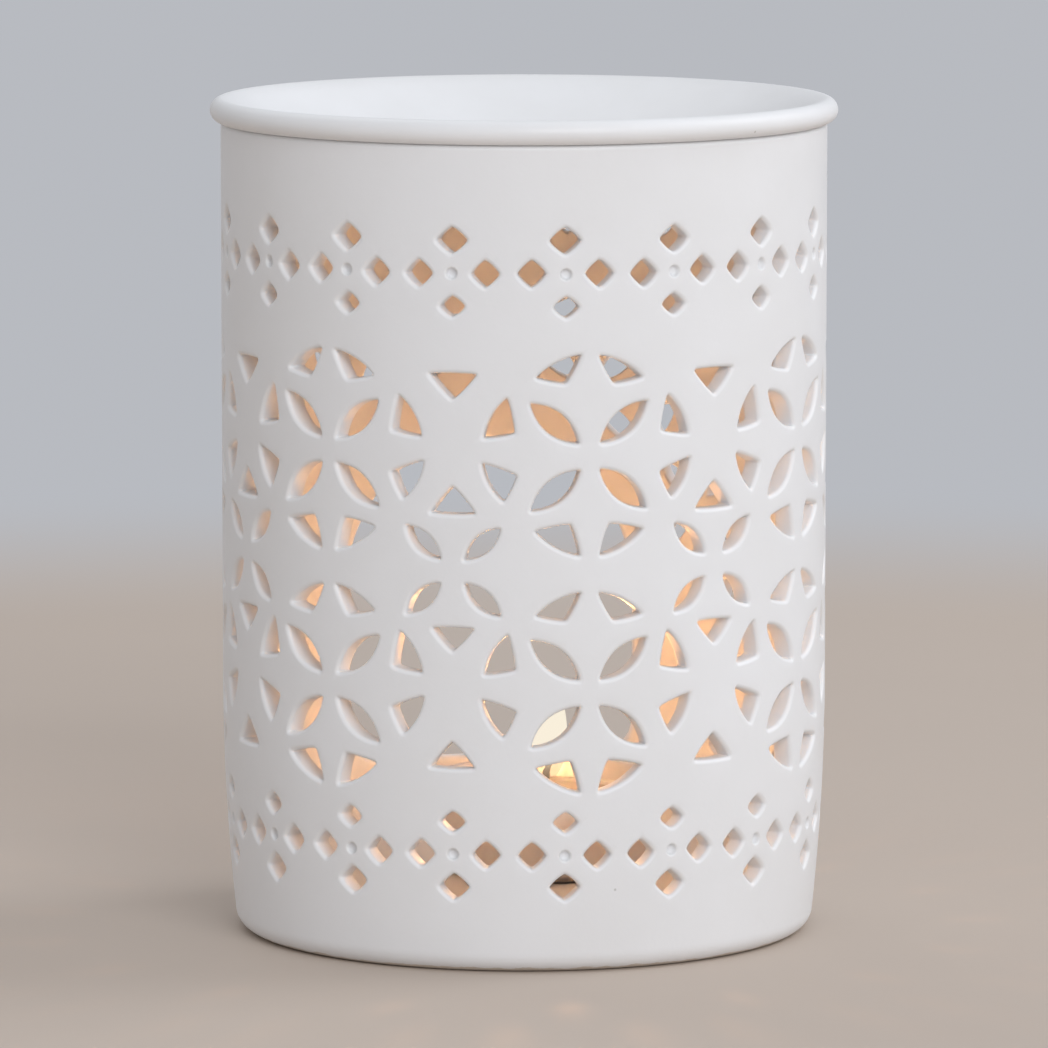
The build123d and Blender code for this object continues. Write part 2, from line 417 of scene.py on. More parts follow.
def wallRadius(height):
    share = (wall["bendHeight"] - height) / (wall["bendHeight"] - wall["footRound"])
    return bodyRadius - wall["footDraw"] * min(max(share, 0), 1) ** 2


def wrapTree():
    tree, given = newTree("wrapToWall", [
        ("Radius", "Float"), ("Foot Draw", "Float"), ("Bend Height", "Float"),
        ("Foot Height", "Float"), ("Glaze", "Material"),
    ])
    place = addNode(tree, "GeometryNodeInputPosition").outputs[0]
    flat = addNode(tree, "ShaderNodeSeparateXYZ", {0: place}).outputs
    share = spread(tree, flat["Y"], given["Bend Height"], given["Foot Height"])
    draw = sums(tree, "MULTIPLY", sums(tree, "POWER", share, 2.0), given["Foot Draw"])
    reach = sums(tree, "SUBTRACT", sums(tree, "SUBTRACT", given["Radius"], draw), flat["Z"])
    turn = sums(tree, "DIVIDE", flat["X"], given["Radius"])
    across = sums(tree, "MULTIPLY", reach, sums(tree, "SINE", turn))
    back = sums(tree, "MULTIPLY", sums(tree, "MULTIPLY", reach, sums(tree, "COSINE", turn)), -1.0)
    wrapped = joined(tree, across, back, flat["Y"])
    moved = addNode(tree, "GeometryNodeSetPosition", {"Geometry": given["Geometry"], "Position": wrapped})
    return endTree(tree, moved.outputs[0], given["Glaze"])


def holeRowTree():
    # Copies of one hole's outline round the wall, each a little off its place, as if cut by hand
    tree, given = newTree("holeRow", [
        ("Count", "Int"), ("First", "Float"), ("Pitch", "Float"), ("Height", "Float"),
        ("Wander", "Float"), ("Twist", "Float"), ("Seed", "Int"), ("Glaze", "Material"),
    ])
    places = addNode(tree, "GeometryNodeMeshLine", {
        "Count": given["Count"], "Offset": joined(tree, given["Pitch"]),
        "Start Location": joined(tree, given["First"], given["Height"]),
    }).outputs[0]
    most, least = given["Wander"], sums(tree, "MULTIPLY", given["Wander"], -1.0)
    off = addNode(tree, "FunctionNodeRandomValue", {
        0: joined(tree, least, least), 1: joined(tree, most, most), "Seed": given["Seed"],
    }, data_type="FLOAT_VECTOR").outputs[0]
    places = addNode(tree, "GeometryNodeSetPosition", {"Geometry": places, "Offset": off}).outputs[0]
    turned = addNode(tree, "FunctionNodeRandomValue", {
        2: sums(tree, "MULTIPLY", given["Twist"], -1.0), 3: given["Twist"], "Seed": given["Seed"],
    }, data_type="FLOAT").outputs[1]
    copies = addNode(tree, "GeometryNodeInstanceOnPoints", {
        "Points": places, "Instance": given["Geometry"], "Rotation": joined(tree, 0.0, 0.0, turned),
    }).outputs[0]
    return endTree(tree, copies, given["Glaze"])


def spreadPoints(fine, spacing):
    # A closed outline of complex points, its corners softened, with points closer where it turns
    soften = rims["soften"]
    closed = np.append(fine, fine[0])
    along = np.append(0, np.cumsum(np.abs(np.diff(closed))))
    count = int(along[-1] / (soften / rims["softenPoints"])) // 2 * 2
    even = np.linspace(0, along[-1], count, endpoint=False)
    line = np.interp(even, along, closed.real) + 1j * np.interp(even, along, closed.imag)
    waves = 2 * pi * np.fft.fftfreq(count, along[-1] / count)
    soft = np.fft.fft(line) * np.exp(-((waves * soften) ** 2) / 2)
    line, heading = np.fft.ifft(soft), np.angle(np.fft.ifft(1j * waves * soft))
    turns = np.abs(np.angle(np.exp(1j * np.diff(np.append(heading, heading[0])))))
    cost = np.append(0, np.cumsum(np.abs(np.roll(line, -1) - line) / spacing + turns / rims["turnStep"]))
    picks = np.interp(np.arange(round(cost[-1])) * cost[-1] / round(cost[-1]), cost, np.arange(count + 1))
    return line[np.round(picks).astype(int) % count]


def softHole(corners, bows):
    # Corners in metres, sides bowed outwards; the outline runs anticlockwise
    points = [complex(*corner) for corner in corners]
    area = sum((a.conjugate() * b).imag for a, b in zip(points, points[1:] + points[:1]))
    if area < 0 or (len(points) == 2 and points[0].real > points[1].real):
        points = points[::-1]
        bows = bows[:-1][::-1] + bows[-1:]
    share = np.linspace(0, 1, rims["sidePoints"], endpoint=False)
    sides = []
    for start, end, bow in zip(points, points[1:] + points[:1], bows):
        out = -1j * (end - start) / abs(end - start)
        sides.append(start + (end - start) * share + out * bow * 4 * share * (1 - share))
    return spreadPoints(np.concatenate(sides), rims["spacing"])


def outlineObject(points):
    mesh = bpy.data.meshes.new("outline")
    count = len(points)
    edges = [(step, (step + 1) % count) for step in range(count)]
    mesh.from_pydata([(point.real, point.imag, 0) for point in points], edges, [])
    return newObject("outline", mesh)


def meetsArch(loop):
    reach = archRadius + arch["margin"]
    turn = loop.real / bodyRadius - arch["turn"]
    across, up = bodyRadius * np.sin(turn), loop.imag
    beside = (np.abs(across) < reach) & (arch["sill"] - arch["margin"] < up) & (up < archSpring)
    under = (up >= archSpring) & (np.hypot(across, up - archSpring) < reach)
    return bool(np.any((np.cos(turn) > 0) & (beside | under)))


holeTree = holeRowTree()
seeds = iter(range(1, 200))


def holeRow(points, count, first, pitch, height):
    outline = outlineObject(points)
    mesh = runTree(outline, holeTree, {
        "Count": count, "First": first, "Pitch": pitch, "Height": height, "Seed": next(seeds),
        "Wander": rims["wander"], "Twist": rims["twist"], "Glaze": bodyGlaze,
    })
    flat = np.array([tuple(vertex.co) for vertex in mesh.vertices])
    bpy.data.objects.remove(outline)
    bpy.data.meshes.remove(mesh)
    return list((flat[:, 0] + 1j * flat[:, 1]).reshape(count, len(points)))


def rosetteRows():
    loops = []
    for side in (-1, 1):
        for up in (-1, 1):
            kinds = (("leaf", 0, rows), ("flowerLeaf", columnPitch / 2, [flowerHeight]))
            for kind, first, heights in kinds:
                inner, outer, width = pattern[kind]
                leaf = softHole([(side * x, up * y) for x, y in (inner, outer)], [width / 2] * 2)
                for height in heights:
                    loops += holeRow(leaf, pattern["columns"], first, columnPitch, height)
        for shares in rimHoles:
            corners = [(side * x * halfWidth, y * halfHeight) for x, y in shares]
            hole = softHole(corners, [pattern["rimBow"], pattern["sideBow"], pattern["sideBow"]])
            for height in rows:
                loops += holeRow(hole, pattern["columns"], 0, columnPitch, height)
    return loops


def triangleRows():
    loops = []
    for row, flat, point, half in triangles:
        outline = softHole([(-half, flat), (half, flat), (0, point)], [pattern["sideBow"]] * 3)
        loops += holeRow(outline, pattern["columns"], columnPitch / 2, columnPitch, rows[row])
    return loops


def clusterRows(height, outward):
    # Four diamonds round a blind dot; a cluster that would meet the arch is left out whole
    large, small, beside = pattern["diamonds"]
    reach = (clusterPitch - beside[0] - pattern["clusterGap"]) / 2
    rise = outward * pattern["diamondRise"]
    places = ((large, 0, rise), (small, 0, -rise), (beside, -reach, 0), (beside, reach, 0))
    kinds = []
    for (width, tall), x, y in places:
        corners = [(x - width / 2, y), (x, y - tall / 2), (x + width / 2, y), (x, y + tall / 2)]
        outline = softHole(corners, [pattern["sideBow"]] * 4)
        kinds.append(holeRow(outline, pattern["clusters"], -columnPitch / 2, clusterPitch, height))
    circle = pattern["dot"] * np.exp(2j * pi * np.arange(pattern["dotPoints"]) / pattern["dotPoints"])
    dots = holeRow(circle, pattern["clusters"], -columnPitch / 2, clusterPitch, height)
    kept = [index for index in range(pattern["clusters"]) if not any(meetsArch(k[index]) for k in kinds)]
    return [kind[index] for kind in kinds for index in kept], [dots[index] for index in kept]


def archOutline():
    corner, half = arch["corner"], archRadius
    low, steps = arch["sill"] + corner, arch["cornerSteps"]
    points = arcPoints((half - corner, low), corner, -90, 0, steps)
    points += arcPoints((0, archSpring), half, 0, 180, arch["roundSteps"])
    points += arcPoints((corner - half, low), corner, 180, 270, steps)
    fine = np.array([complex(*point) for point in points])
    return spreadPoints(fine, rims["archSpacing"])


def outwards(loop):
    before, after = loop - np.roll(loop, 1), np.roll(loop, -1) - loop
    mean = before / np.abs(before) + after / np.abs(after)
    return -1j * mean / np.abs(mean)


def rimProfile(outside, inside):
    # (offset from the hole's side, depth, how much it is on the rim) from the outer sheet to the inner
    profile = []
    for step in range(rims["outsideSteps"] + 1):
        turn = pi / 2 * step / rims["outsideSteps"]
        profile.append((outside * (1 - sin(turn)), outside * (1 - cos(turn)), sin(2 * turn)))
    for step in range(rims["insideSteps"] + 1):
        turn = pi / 2 * step / rims["insideSteps"]
        profile.append((inside * (1 - cos(turn)), wall["thickness"] - inside * (1 - sin(turn)), 0))
    return profile


# A blind dot in millimetres: offset from its circle, depth, how much it is on the rim
dotProfile = [(0.38, 0, 0.3), (0.14, 0.08, 0.6), (0.0, 0.32, 0), (-0.08, 0.80, 0), (-0.38, 1.05, 0)]
made = {"points": [], "rim": [], "faces": []}


def addRing(points, depth, rim=0.0):
    first = sum(len(part) for part in made["points"])
    depths = np.broadcast_to(depth, points.shape)
    made["points"].append(np.stack([points.real, points.imag, depths], 1))
    made["rim"].append(np.full(len(points), rim))
    return np.arange(first, first + len(points))


def addStrips(rings):
    for first, second in zip(rings, rings[1:]):
        strip = np.stack([first, np.roll(first, -1), np.roll(second, -1), second], 1)
        made["faces"] += strip.tolist()


def addSheet(rings, grid, inside):
    # Fills between the two border rings and round the holes. The flat wall is rolled out as a ring
    # for this, so that it has no seam, in a way that keeps small shapes as they are.
    points = np.concatenate(made["points"])
    chosen = np.concatenate(rings + [grid])
    ringOf = np.full(len(chosen), -1)
    placeOf = np.zeros(len(chosen), int)
    edges, first = [], 0
    for index, ring in enumerate(rings):
        span = np.arange(first, first + len(ring))
        edges += np.stack([span, np.roll(span, -1)], 1).tolist()
        ringOf[span] = index
        placeOf[span] = span - first
        first += len(ring)
    flat = points[chosen]
    reach = np.exp(flat[:, 1] / bodyRadius)
    turn = flat[:, 0] / bodyRadius
    plane = [Vector(pair) for pair in np.stack([reach * np.cos(turn), -reach * np.sin(turn)], 1)]
    found = delaunay_2d_cdt(plane, edges, [], 0, wall["tolerance"], False)
    if len(found[0]) != len(plane):
        raise ValueError("the holes of the wall meet")
    corners = np.array(found[2])
    owners, places = ringOf[corners], placeOf[corners]
    alone = (owners[:, 0] == owners[:, 1]) & (owners[:, 1] == owners[:, 2]) & (owners[:, 0] >= 0)
    rising = sum((places[:, b] > places[:, a]).astype(int) for a, b in ((0, 1), (1, 2), (2, 0))) == 2
    hole = alone & np.where(owners[:, 0] == 0, ~rising, rising)  # ring 0 is the lower border
    corners = chosen[corners[~hole]]
    made["faces"] += (corners[:, ::-1] if inside else corners).tolist()


def gridPoints(low, high, loops):
    # Staggered rows of points over the wall, clear of every loop and outside it
    loopPoints = np.concatenate(loops)
    out = np.concatenate([outwards(loop) for loop in loops])
    tree = KDTree(len(loopPoints))
    for index, point in enumerate(loopPoints):
        turn = point.real / bodyRadius
        tree.insert((bodyRadius * cos(turn), bodyRadius * sin(turn), point.imag), index)
    tree.balance()
    count = round(girth / wall["gridPitch"])
    lines = round((high - low) / (wall["gridPitch"] * sqrt(3) / 2))
    kept = []
    for line in range(1, lines):
        height = low + (high - low) * line / lines
        for step in range(count):
            place = complex(girth * (step + line % 2 / 2) / count, height)
            turn = place.real / bodyRadius
            _, index, near = tree.find((bodyRadius * cos(turn), bodyRadius * sin(turn), height))
            away = place - loopPoints[index]
            away -= girth * round(away.real / girth)
            if near > wall["gridGap"] and (away * out[index].conjugate()).real > 0:
                kept.append(place)
    return np.array(kept)


def archRing(outline, out, offset, depth):
    ring = outline + out * offset
    turns = [arch["turn"] + asin(p.real / (wallRadius(p.imag) - depth)) for p in ring]
    return np.array(turns) * bodyRadius + 1j * ring.imag


def circleRing(radius, height):
    places = girth * np.arange(wall["segments"]) / wall["segments"] + 1j * height
    return addRing(places, wallRadius(height) - radius)


def footRings():
    # From the middle underneath, over the foot ring, up to the wall's outer face
    foot = bodyRadius - wall["footDraw"]
    contact = foot - wall["footRound"]
    inner = contact - wall["footRing"]
    top, bottom = (inner, wall["recess"]), (inner + wall["footRingSlope"], 0)
    profile = [(0, top[1]), (inner / 3, top[1])]
    inward, outward, down = wall["recessCorner"]
    after = (inner + outward, top[1] - down)
    profile += softCorner((inner - inward, top[1]), top, after, wall["cornerSteps"])
    inward, up, outward = wall["footRingCorner"]
    after = (bottom[0] + outward, 0)
    profile += softCorner((bottom[0] - inward, up), bottom, after, wall["cornerSteps"])
    profile += arcPoints((contact, wall["footRound"]), wall["footRound"], -90, 0, wall["footSteps"])
    return [circleRing(radius, height) for radius, height in profile]


def mouthRings():
    # Over the mouth, from the outer face to the inner one
    r, steps = wall["mouthRound"], wall["cornerSteps"]
    inner = bodyRadius - wall["thickness"]
    profile = arcPoints((bodyRadius - r, bodyHeight - r), r, 0, 90, steps)
    profile += arcPoints((inner + r, bodyHeight - r), r, 90, 180, steps)
    return [circleRing(radius, height) for radius, height in profile]


def floorRings():
    # From the wall's inner face down round the corner to the middle of the floor
    floor, corner = wall["floor"], wall["floorCorner"]
    inner = wallRadius(floor + corner) - wall["thickness"]
    profile = arcPoints((inner - corner, floor + corner), corner, 0, -90, wall["floorSteps"])
    radii = (inner - corner - wall["floorEdge"], *wall["floorRings"], 0)
    profile += [(radius, floor) for radius in radii]
    return [circleRing(radius, height) for radius, height in profile]


def makeBody():
    loops = rosetteRows() + triangleRows()
    loops = [loop for loop in loops if not meetsArch(loop)]
    dots = []
    for height, outward in ((pattern["bandAboveFoot"], -1), (upperBand, 1)):
        diamonds, middles = clusterRows(height, outward)
        loops += diamonds
        dots += middles
    print("pattern laid out:", len(loops), "holes and", len(dots), "dots")

    outerRings, innerRings, outerLoops, innerLoops = [], [], [], []

    def addSide(points, profile, unit=1):  # of a hole or dot, from the outer sheet inwards
        rings = [addRing(line, depth * unit, rim) for line, (offset, depth, rim) in zip(points, profile)]
        addStrips(rings)
        outerRings.append(rings[0])
        outerLoops.append(points[0])
        return rings[-1]

    def addHole(points, profile):
        innerRings.append(addSide(points, profile))
        innerLoops.append(points[-1])

    profile = rimProfile(rims["outside"], rims["inside"])
    for loop in loops:
        out = outwards(loop)
        addHole([loop + out * offset for offset, depth, rim in profile], profile)
    outline = archOutline()
    out = outwards(outline)
    profile = rimProfile(rims["archOutside"], rims["archInside"])
    addHole([archRing(outline, out, offset, depth) for offset, depth, rim in profile], profile)
    for dot in dots:
        out = outwards(dot)
        points = [dot + out * offset * mm for offset, depth, rim in dotProfile]
        made["faces"].append(addSide(points, dotProfile, mm).tolist())

    foot, mouth, floor = footRings(), mouthRings(), floorRings()
    for chain in (foot, mouth, floor):
        addStrips(chain)
    placed = np.concatenate(made["points"])
    heights = [placed[ring[0], 1] for ring in (foot[-1], mouth[0], mouth[-1], floor[0])]
    outerGrid = gridPoints(heights[0], heights[1], outerLoops)
    innerGrid = gridPoints(heights[3], heights[2], innerLoops)
    outerGrid = addRing(outerGrid, 0.0)
    innerGrid = addRing(innerGrid, wall["thickness"])
    addSheet([foot[-1], mouth[0]] + outerRings, outerGrid, inside=False)
    addSheet([floor[0], mouth[-1]] + innerRings, innerGrid, inside=True)

    flatWall = smoothObject("flatWall", np.concatenate(made["points"]).tolist(), made["faces"])
    rim = flatWall.data.attributes.new("rim", "FLOAT", "POINT")
    rim.data.foreach_set("value", np.concatenate(made["rim"]))
    wrapped = runTree(flatWall, wrapTree(), {
        "Radius": bodyRadius, "Foot Draw": wall["footDraw"], "Bend Height": wall["bendHeight"],
        "Foot Height": wall["footRound"], "Glaze": bodyGlaze,
    })
    bpy.data.objects.remove(flatWall)
    return newObject("pierced_body", wrapped)


def finishBody(piece):
    # Poles and the axis have many points in one place: they become one
    weld = piece.modifiers.new("weld", "WELD")
    weld.merge_threshold = wall["weld"]
    even = piece.modifiers.new("even", "WEIGHTED_NORMAL")
    even.weight = wall["evenWeight"]
    piece.data = bake(piece)
    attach(piece, "burner")
    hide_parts("burner_body")
    return piece


piercedBody = finishBody(makeBody())
print("body made:", len(piercedBody.data.polygons), "faces")


# Dish: thrown thin, with a rolled lip
dish = {
    "lipThickness": 4.0 * mm,
    "bowlDepth": 14.0 * mm,
    "wallThickness": 3.2 * mm,
    "slopeWidth": 2.1 * mm,
    "slopeFall": 0.55 * mm,
    "ringHeight": 4.0 * mm,
    "ringWidth": 2.5 * mm,
    "ringInset": 1.6 * mm,  # from the ring in to where the bowl's underside starts
    "play": 0.5 * mm,
    "soft": 0.7 * mm,
    "shoulderShare": 0.3,  # of the softening, where the ring leaves the lip
    "bowlSteps": 26,
    "slopeSteps": 5,
    "lipSteps": 18,
    "ringSteps": 4,
    "underSteps": 22,
    "segments": 192,
}


def makeDish():
    top, lipRadius = dishHigh.z, (dishHigh.x - dishLow.x) / 2
    r = dish["lipThickness"] / 2
    lipMiddle = lipRadius - r
    edge = (lipMiddle - dish["slopeWidth"], top - dish["slopeFall"])
    rise = dish["bowlDepth"] - dish["slopeFall"]
    bowlRadius = (edge[0] ** 2 + rise**2) / (2 * rise)
    centre = (0, top - dish["bowlDepth"] + bowlRadius)
    rimTurn = np.degrees(np.arctan2(edge[1] - centre[1], edge[0]))
    bowl = arcPoints(centre, bowlRadius, -90, rimTurn, dish["bowlSteps"])
    lip = arcPoints((lipMiddle, top - r), r, 90, -90, dish["lipSteps"])
    ringOut = bodyRadius - wall["thickness"] - dish["play"]
    ringIn = ringOut - dish["ringWidth"]
    ringLow = bodyHeight - dish["ringHeight"]
    soft, steps = dish["soft"], dish["ringSteps"]
    shoulder = soft * dish["shoulderShare"]
    under = bowlRadius + dish["wallThickness"]
    underTurn = -np.degrees(np.arccos((ringIn - dish["ringInset"]) / under))
    profile = [(0.0, bowl[0][1])] + bowl[1:-1]
    profile += softCorner(bowl[-2], edge, lip[0], dish["slopeSteps"])[1:-1] + lip
    profile += [(ringOut + soft, bodyHeight), (ringOut + shoulder, bodyHeight - shoulder)]
    profile += arcPoints((ringOut - soft, ringLow + soft), soft, 0, -90, steps)
    profile += arcPoints((ringIn + soft, ringLow + soft), soft, -90, -180, steps)
    profile += arcPoints(centre, under, underTurn, -90, dish["underSteps"])[:-1]
    profile += [(0.0, top - dish["bowlDepth"] - dish["wallThickness"])]
    piece = lathe("dish", profile, dish["segments"], dishGlaze)
    piece.data.flip_normals()
    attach(piece, "dish")
    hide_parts("oil_dish")


makeDish()
print("dish made")


# Tea light: pressed foil cup, wax molten on top, cotton wick and its tin tab
cup = {
    "foil": 0.22 * mm,
    "draft": 0.5 * mm,
    "corner": 1.4 * mm,
    "cornerSteps": 5,
    "cornerReach": 2.2,  # where the side is straight, in corner radii above the base
    "bead": 0.5 * mm,
    "beadOverhang": 0.6 * mm,
    "beadTurn": (-120, 100),
    "beadSteps": 9,
    "lipFall": 0.2 * mm,
    "flutes": 54,
    "fluteDepth": 0.07 * mm,
    # The flutes start and end at these shares of the cup's height, and swell and die over these
    "fluteShares": (0.12, 0.86),
    "swellShares": (0.2, 0.15),
    "embossRadius": (7.5 * mm, 9.5 * mm),
    "embossRise": 0.35 * mm,
    "segments": 216,
    "colour": (0.76, 0.76, 0.77),
    "dentColour": (0.68, 0.68, 0.69),
    # Painted shade: the foil is darkened at the cup's foot, standing in for the shadow where it stands on
    # the floor
    "baseShadeColour": (0.32, 0.30, 0.29),
    "baseShadeReach": (2.0 * mm, 0.8 * mm),  # the painted shade at the cup's foot comes in between these heights
    "roughness": (0.34, 0.50),
    "dent": 0.06 * mm,
    "dentSpan": (0.35, 0.7),
    "dentScale": 130.0,
    "rolling": 0.02 * mm,
    "rollingScale": (40.0, 40.0, 900.0),
}
cupMiddle = ((cupLow.x + cupHigh.x) / 2, (cupLow.y + cupHigh.y) / 2)
cupRadius = (cupHigh.x - cupLow.x) / 2 - cup["beadOverhang"]
cupHeight = cupHigh.z - cupLow.z


def foilMaterial():
    material, tree, surface, place = newMaterial("foil")
    dents = noise(tree, place, cup["dentScale"], 3.0, 0.6)
    colour = mixColour(tree, spread(tree, dents, *cup["dentSpan"]), cup["colour"], cup["dentColour"])
    # Painted shade: the foil darkens towards its base, standing in for the shadow round the cup's foot
    high, low = cup["baseShadeReach"]
    baseShade = spread(tree, heightOf(tree, place), cupLow.z + high, cupLow.z + low)
    colour = mixColour(tree, baseShade, colour, cup["baseShadeColour"])
    shine = spread(tree, dents, *noiseSpan, *cup["roughness"])
    squeezed = addNode(tree, "ShaderNodeMapping", {0: place, 3: cup["rollingScale"]}).outputs[0]
    normal = bump(tree, noise(tree, squeezed, 1.0, 2.0), cup["rolling"])
    normal = bump(tree, dents, cup["dent"], normal)
    fill(tree, surface, {"Base Color": colour, "Metallic": 1.0, "Roughness": shine, "Normal": normal})
    return material


def makeCup():
    base, foil = cupLow.z, cup["foil"]
    lowRadius = cupRadius - cup["draft"]

    def side(height):
        return lowRadius + cup["draft"] * height / cupHeight

    c, bead = cup["corner"], cup["bead"]
    inEmboss, outEmboss = cup["embossRadius"]
    rise = cup["embossRise"]
    outside = [(0, rise), (inEmboss, rise), (outEmboss, 0)]
    outside += arcPoints((lowRadius - c, c), c, -90, 0, cup["cornerSteps"])
    straight = (c * cup["cornerReach"], cupHeight / 2, cupHeight - 2 * bead)
    outside += [(side(height), height) for height in straight]
    beadMiddle = (cupRadius + cup["beadOverhang"] - bead, cupHeight - bead)
    outside += arcPoints(beadMiddle, bead, *cup["beadTurn"], cup["beadSteps"])
    inside = [(side(cupHeight) - foil, cupHeight - cup["lipFall"])]
    inside += [(side(cupHeight / 2) - foil, cupHeight / 2), (side(c) - foil, c + foil)]
    inside += [(lowRadius - c, foil), (outEmboss, foil), (inEmboss, rise + foil), (0, rise + foil)]
    profile = [(radius, base + height) for radius, height in outside + inside]

    def flutes(angle, radius, height):
        if radius <= lowRadius - c:
            return 0
        up = (height - base) / cupHeight
        start, end = cup["fluteShares"]
        swell, die = cup["swellShares"]
        window = max(0, min(1, (up - start) / swell)) * max(0, min(1, (end - up) / die))
        return cup["fluteDepth"] * sin(cup["flutes"] * angle) * window

    piece = lathe("foil_cup", profile, cup["segments"], foilMaterial(), flutes, cupMiddle)
    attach(piece, "tealight")
    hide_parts("tealight_cup")


wax = {
    "pool": 15.2 * mm,  # radius of the molten part
    "sink": 0.55 * mm,
    "meniscus": 0.45 * mm,
    "meniscusWidth": 0.12 * mm,
    "clearance": 0.06 * mm,
    "lift": 0.6 * mm,  # off the cup's base
    "heel": 1.0 * mm,
    # Profile points in millimetres, outwards and upwards: from the foot of its side, from its upper
    # edge, from the pool's edge and the upper edge, from the pool's edge, and from the middle of it
    "side": ((-0.4, 2.0),),
    "shoulder": ((-0.08, -1.4), (-0.1, -0.35), (-0.35, -0.12), (-0.9, -0.05)),
    "shore": ((1.0, -0.06), (0.4, -0.2)),
    "poolEdge": ((0.0, 0.05), (-0.6, 0.0)),
    "poolFloor": ((8.0, 0.0), (3.5, 0.0), (2.0, 0.05), (1.3, 0.2)),
    "segments": 128,
    "moltenColour": (0.66, 0.60, 0.50),
    "firmColour": (0.80, 0.77, 0.71),
    "roughness": (0.08, 0.42),  # molten and firm
    "edgeReach": (0.6 * mm, 0.9 * mm),  # over which it turns firm, inside and outside the pool's edge
    "edgeWander": 0.7 * mm,
    "edgeScale": 180.0,
    "grain": 0.08 * mm,
    "grainScale": 240.0,
    "glowShare": 0.5,  # of the light that goes into it
    "glowReach": (6 * mm, 4 * mm, 2.5 * mm),
    "ior": 1.44,
}


def waxMaterial():
    material, tree, surface, place = newMaterial("wax")
    wander = wax["edgeWander"]
    edge = uneven(tree, place, distance(tree, place, cupMiddle), wax["edgeScale"], -wander, wander)
    inside, outside = wax["edgeReach"]
    firm = spread(tree, edge, wax["pool"] - inside, wax["pool"] + outside)
    grain = sums(tree, "MULTIPLY", noise(tree, place, wax["grainScale"]), firm)
    fill(tree, surface, {
        "Base Color": mixColour(tree, firm, wax["moltenColour"], wax["firmColour"]),
        "Roughness": spread(tree, firm, 0.0, 1.0, *wax["roughness"]),
        "Normal": bump(tree, grain, wax["grain"]),
        "IOR": wax["ior"],
        "Subsurface Weight": wax["glowShare"],
        "Subsurface Radius": wax["glowReach"],
        "Subsurface Scale": 1.0,
    })
    return material


def makeWax():
    top, base = waxHigh.z, waxLow.z
    outer = cupRadius - cup["foil"] - wax["clearance"] - cup["fluteDepth"]
    low = outer - cup["draft"]
    level = top - wax["sink"]
    peak = level + wax["meniscus"]

    def near(radius, height, points):
        return [(radius + out * mm, height + up * mm) for out, up in points]

    profile = [(0, base + wax["lift"]), (low - cup["corner"] - wax["heel"], base + wax["lift"])]
    profile += near(low, base, wax["side"]) + [(low + cup["draft"] / 2, (base + top) / 2)]
    profile += near(outer, top, wax["shoulder"]) + near(wax["pool"], top, wax["shore"])
    profile += near(wax["pool"], level, wax["poolEdge"]) + near(0, level, wax["poolFloor"])
    profile += [(wick["radius"] + wax["meniscusWidth"], peak), (0, peak)]
    piece = lathe("wax", profile, wax["segments"], waxMaterial(), middle=cupMiddle)
    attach(piece, "tealight")
    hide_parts("tealight_wax")


wick = {
    "radius": 0.75 * mm,
    "lift": 0.1 * mm,
    "bendRadius": 4.0 * mm,
    "bendTurn": radians(40),
    "tipDrop": 0.5 * mm,
    "strands": 3,
    "strandDepth": 0.156 * mm,
    "lay": 3.2 * mm,  # length of one twist
    "taper": 0.45,  # what the radius loses by the tip
    "taperShares": (0.85, 0.15),  # of the length: where it starts, and how long it is
    "rings": 90,
    "sides": 24,
    "cotton": (0.62, 0.54, 0.40),
    "char": (0.018, 0.014, 0.012),
    "charred": 4.9 * mm,  # length below the tip
    "charReach": 2.2 * mm,
    "charWander": 0.4 * mm,
    "charScale": 900.0,
    "ember": (1.0, 0.25, 0.05),
    "emberLength": 1.0 * mm,
    "roughness": 0.9,
    "fuzz": 0.05 * mm,
    "fuzzScale": 3500.0,
}


def wickMaterial():
    material, tree, surface, place = newMaterial("wick_cotton")
    wander = wick["charWander"]
    height = uneven(tree, place, heightOf(tree, place), wick["charScale"], -wander, wander)
    charFrom = wickHigh.z - wick["charred"]
    char = spread(tree, height, charFrom, charFrom + wick["charReach"])
    fill(tree, surface, {
        "Base Color": mixColour(tree, char, wick["cotton"], wick["char"]),
        "Roughness": wick["roughness"],
        "Normal": bump(tree, noise(tree, place, wick["fuzzScale"], 2.0), wick["fuzz"]),
        "Emission Color": wick["ember"],
        "Emission Strength": spread(tree, height, wickHigh.z - wick["emberLength"], wickHigh.z),
    })
    return material


def makeWick():
    stem = wickHigh.z - wick["bendRadius"] * sin(wick["bendTurn"]) - wick["tipDrop"]
    start = wickLow.z + wick["lift"]
    length = stem - start + wick["bendRadius"] * wick["bendTurn"]
    taperFrom, taperOver = wick["taperShares"]
    rings, sides = wick["rings"], wick["sides"]
    verts, faces = [], []
    for ring in range(rings + 1):
        along = length * ring / rings
        turn = max(0, along - (stem - start)) / wick["bendRadius"]
        middle = Vector((*cupMiddle, min(start + along, stem)))
        middle += wick["bendRadius"] * Vector((1 - cos(turn), 0, sin(turn)))
        sideways, ahead = Vector((cos(turn), 0, -sin(turn))), Vector((0, 1, 0))
        taper = 1 - wick["taper"] * max(0, along / length - taperFrom) / taperOver
        for side in range(sides):
            angle = 2 * pi * side / sides
            lobes = abs(sin(wick["strands"] / 2 * (angle - 2 * pi * along / wick["lay"])))
            reach = (wick["radius"] - wick["strandDepth"] * (1 - lobes)) * taper
            verts.append(middle + (sideways * cos(angle) + ahead * sin(angle)) * reach)
    for ring in range(rings):
        for side in range(sides):
            a, b = ring * sides + side, ring * sides + (side + 1) % sides
            faces.append((a, b, b + sides, a + sides))
    faces.append(tuple(reversed(range(sides))))
    faces.append(tuple(range(rings * sides, (rings + 1) * sides)))
    piece = smoothObject("wick_cord", verts, faces, wickMaterial())
    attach(piece, "tealight")
    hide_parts("wick")


tabLook = {
    "dark": (0.50, 0.50, 0.50),
    "pale": (0.66, 0.66, 0.65),
    "roughness": (0.25, 0.45),
    "scratch": 0.01 * mm,
    "scratchScale": (80.0, 1400.0, 80.0),
}


